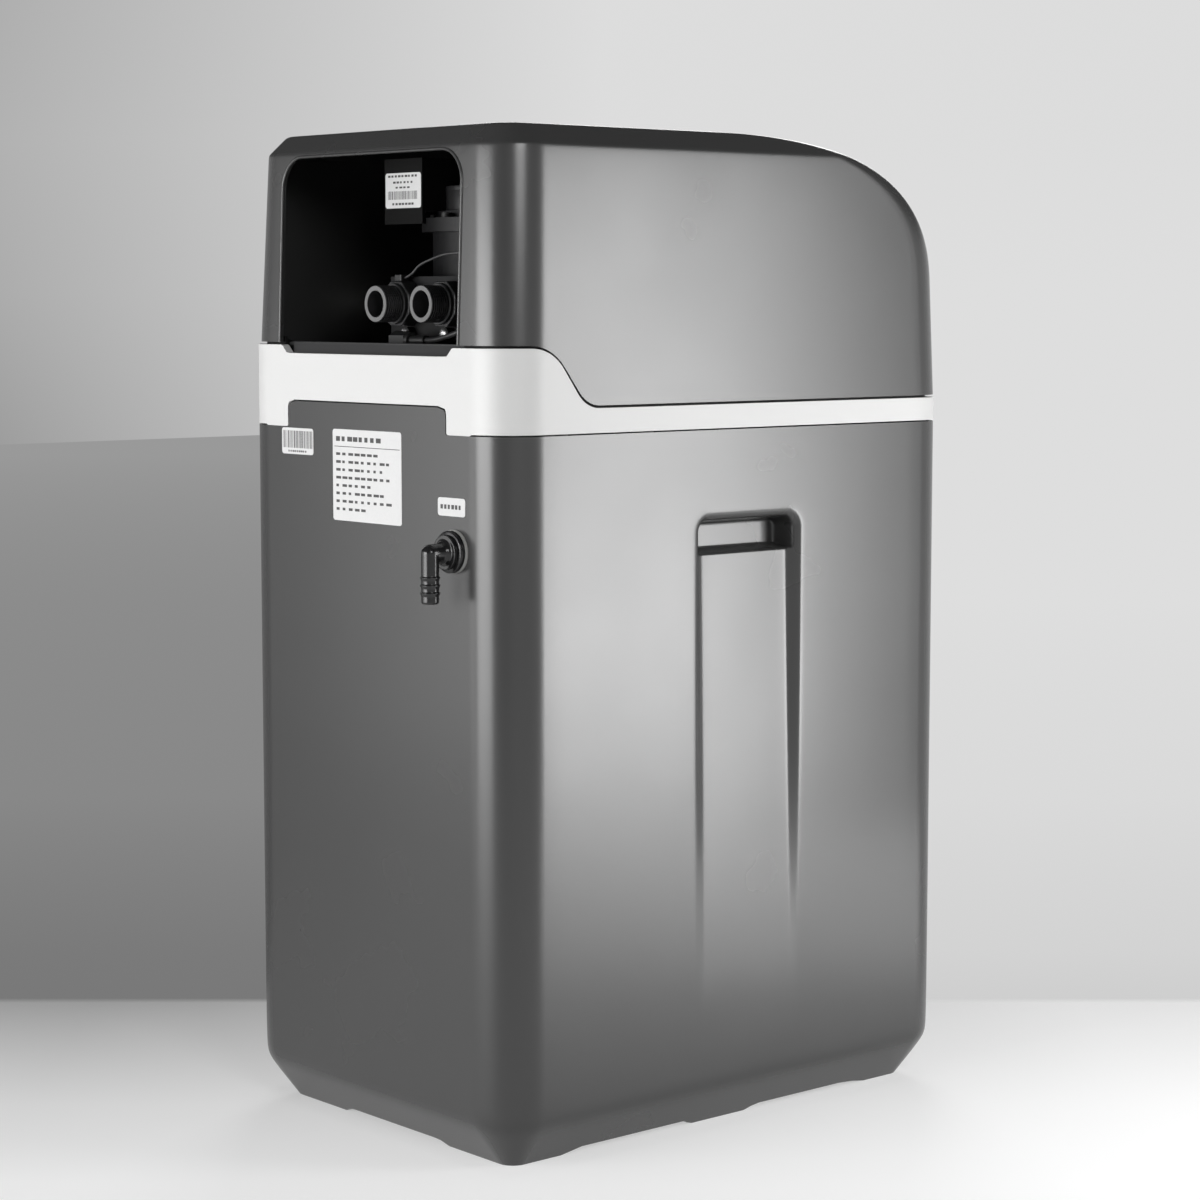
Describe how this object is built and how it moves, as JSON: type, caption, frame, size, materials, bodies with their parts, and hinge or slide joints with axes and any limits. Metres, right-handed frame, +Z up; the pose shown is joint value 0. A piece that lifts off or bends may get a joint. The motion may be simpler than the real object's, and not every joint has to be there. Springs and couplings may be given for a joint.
{
  "type": "water softener",
  "caption": "Upright cabinet water softener with a stepped white collar, bevelled hood, hinged salt lid, rear pipe ports, overflow elbow and an inner resin tank with its control valve.",
  "frame": {"origin": "on the floor, at the centre of the outline of the cabinet and its overflow elbow", "axes": "+Z up, +Y towards the rear with the pipe ports, +X to the right seen from the front"},
  "size_m": [0.31, 0.468, 0.717],
  "materials": {
    "grey_plastic": "satin",
    "white_plastic": "satin",
    "black_plastic": "satin",
    "valve_plastic": "satin",
    "port_plastic": "satin",
    "panel_plastic": "satin",
    "key_plastic": "satin",
    "pale_plastic": "satin",
    "grid_plastic": "matte",
    "tank_shell": "gloss",
    "ceramic": "polished",
    "steel": "brushed",
    "motor_steel": "zinc plated",
    "brass": "machined",
    "seal_rubber": "matte",
    "gasket_rubber": "matte",
    "board": "satin",
    "display_glass": "gloss",
    "lead_jacket": "satin"
  },
  "bodies": {
    "cabinet": {"cabinet_shell": "grey_plastic", "hood_shell": "grey_plastic", "collar_band": "white_plastic", "valve_deck": "black_plastic", "overflow_grommet": "black_plastic", "overflow_locknut": "black_plastic", "tank_boot": "black_plastic", "motor_cover": "black_plastic", "gear_housing": "black_plastic", "gear_cover": "black_plastic", "meter_sensor": "black_plastic", "power_socket": "black_plastic", "control_housing": "black_plastic", "brine_well_cap": "black_plastic", "valve_body": "valve_plastic", "valve_cap": "valve_plastic", "injector_cap": "valve_plastic", "inlet_adapter": "port_plastic", "outlet_adapter": "port_plastic", "control_panel": "panel_plastic", "riser_tube": "pale_plastic", "bottom_distributor": "pale_plastic", "top_strainer": "pale_plastic", "drain_fitting": "pale_plastic", "brine_fitting": "pale_plastic", "brine_well": "pale_plastic", "brine_valve": "pale_plastic", "brine_pickup": "pale_plastic", "brine_line": "pale_plastic", "salt_grid": "grid_plastic", "resin_tank": "tank_shell", "fixed_disc": "ceramic", "deck_screws": "steel", "lid_hinge_pins": "steel", "cap_screws": "steel", "port_screws": "steel", "drive_motor": "motor_steel", "neck_seal": "seal_rubber", "port_seals": "seal_rubber", "overflow_gasket": "gasket_rubber", "control_board": "board", "display_lens": "display_glass", "meter_lead": "lead_jacket", "power_lead": "lead_jacket"},
    "salt_lid": {"salt_lid": "grey_plastic"},
    "overflow_elbow": {"overflow_elbow": "black_plastic"},
    "valve_rotor": {"rotor_disc": "ceramic", "rotor_shaft": "steel", "drive_gear": "pale_plastic"},
    "motor_pinion": {"motor_pinion": "brass"},
    "meter_turbine": {"meter_turbine": "pale_plastic"},
    "float": {"float_rod": "steel", "brine_float": "pale_plastic"},
    "menu_key": {"menu_key": "key_plastic"},
    "down_key": {"down_key": "key_plastic"},
    "up_key": {"up_key": "key_plastic"},
    "set_key": {"set_key": "key_plastic"}
  },
  "joints": [
    {"name": "lid_hinge", "type": "hinge", "parent": "cabinet", "child": "salt_lid", "pos_m": [0, -0.034, 0.7116], "axis": [-1, 0, 0], "range_deg": [0, 95]},
    {"name": "overflow_swivel", "type": "hinge", "parent": "cabinet", "child": "overflow_elbow", "pos_m": [-0.102, 0.206, 0.428], "axis": [0, 1, 0], "range_deg": [-90, 90]},
    {"name": "rotor_spin", "type": "hinge", "parent": "cabinet", "child": "valve_rotor", "pos_m": [0, 0.071, 0.66], "axis": [0, 0, 1], "continuous": true},
    {"name": "pinion_spin", "type": "hinge", "parent": "cabinet", "child": "motor_pinion", "pos_m": [0.042, 0.1025, 0.67], "axis": [0, 0, 1], "continuous": true},
    {"name": "turbine_spin", "type": "hinge", "parent": "cabinet", "child": "meter_turbine", "pos_m": [0.0266, 0.1485, 0.5955], "axis": [0, 1, 0], "continuous": true},
    {"name": "float_rise", "type": "slide", "parent": "cabinet", "child": "float", "axis": [0, 0, 1], "range_m": [0, 0.04]},
    {"name": "menu_key_press", "type": "slide", "parent": "cabinet", "child": "menu_key", "axis": [0, 0.9397, -0.342], "range_m": [0, 0.001], "stiffness_N_per_m": 500},
    {"name": "down_key_press", "type": "slide", "parent": "cabinet", "child": "down_key", "axis": [0, 0.9397, -0.342], "range_m": [0, 0.001], "stiffness_N_per_m": 500},
    {"name": "up_key_press", "type": "slide", "parent": "cabinet", "child": "up_key", "axis": [0, 0.9397, -0.342], "range_m": [0, 0.001], "stiffness_N_per_m": 500},
    {"name": "set_key_press", "type": "slide", "parent": "cabinet", "child": "set_key", "axis": [0, 0.9397, -0.342], "range_m": [0, 0.001], "stiffness_N_per_m": 500}
  ],
  "couplings": [
    {"joint": "pinion_spin", "follows": "rotor_spin", "ratio": -4}
  ]
}
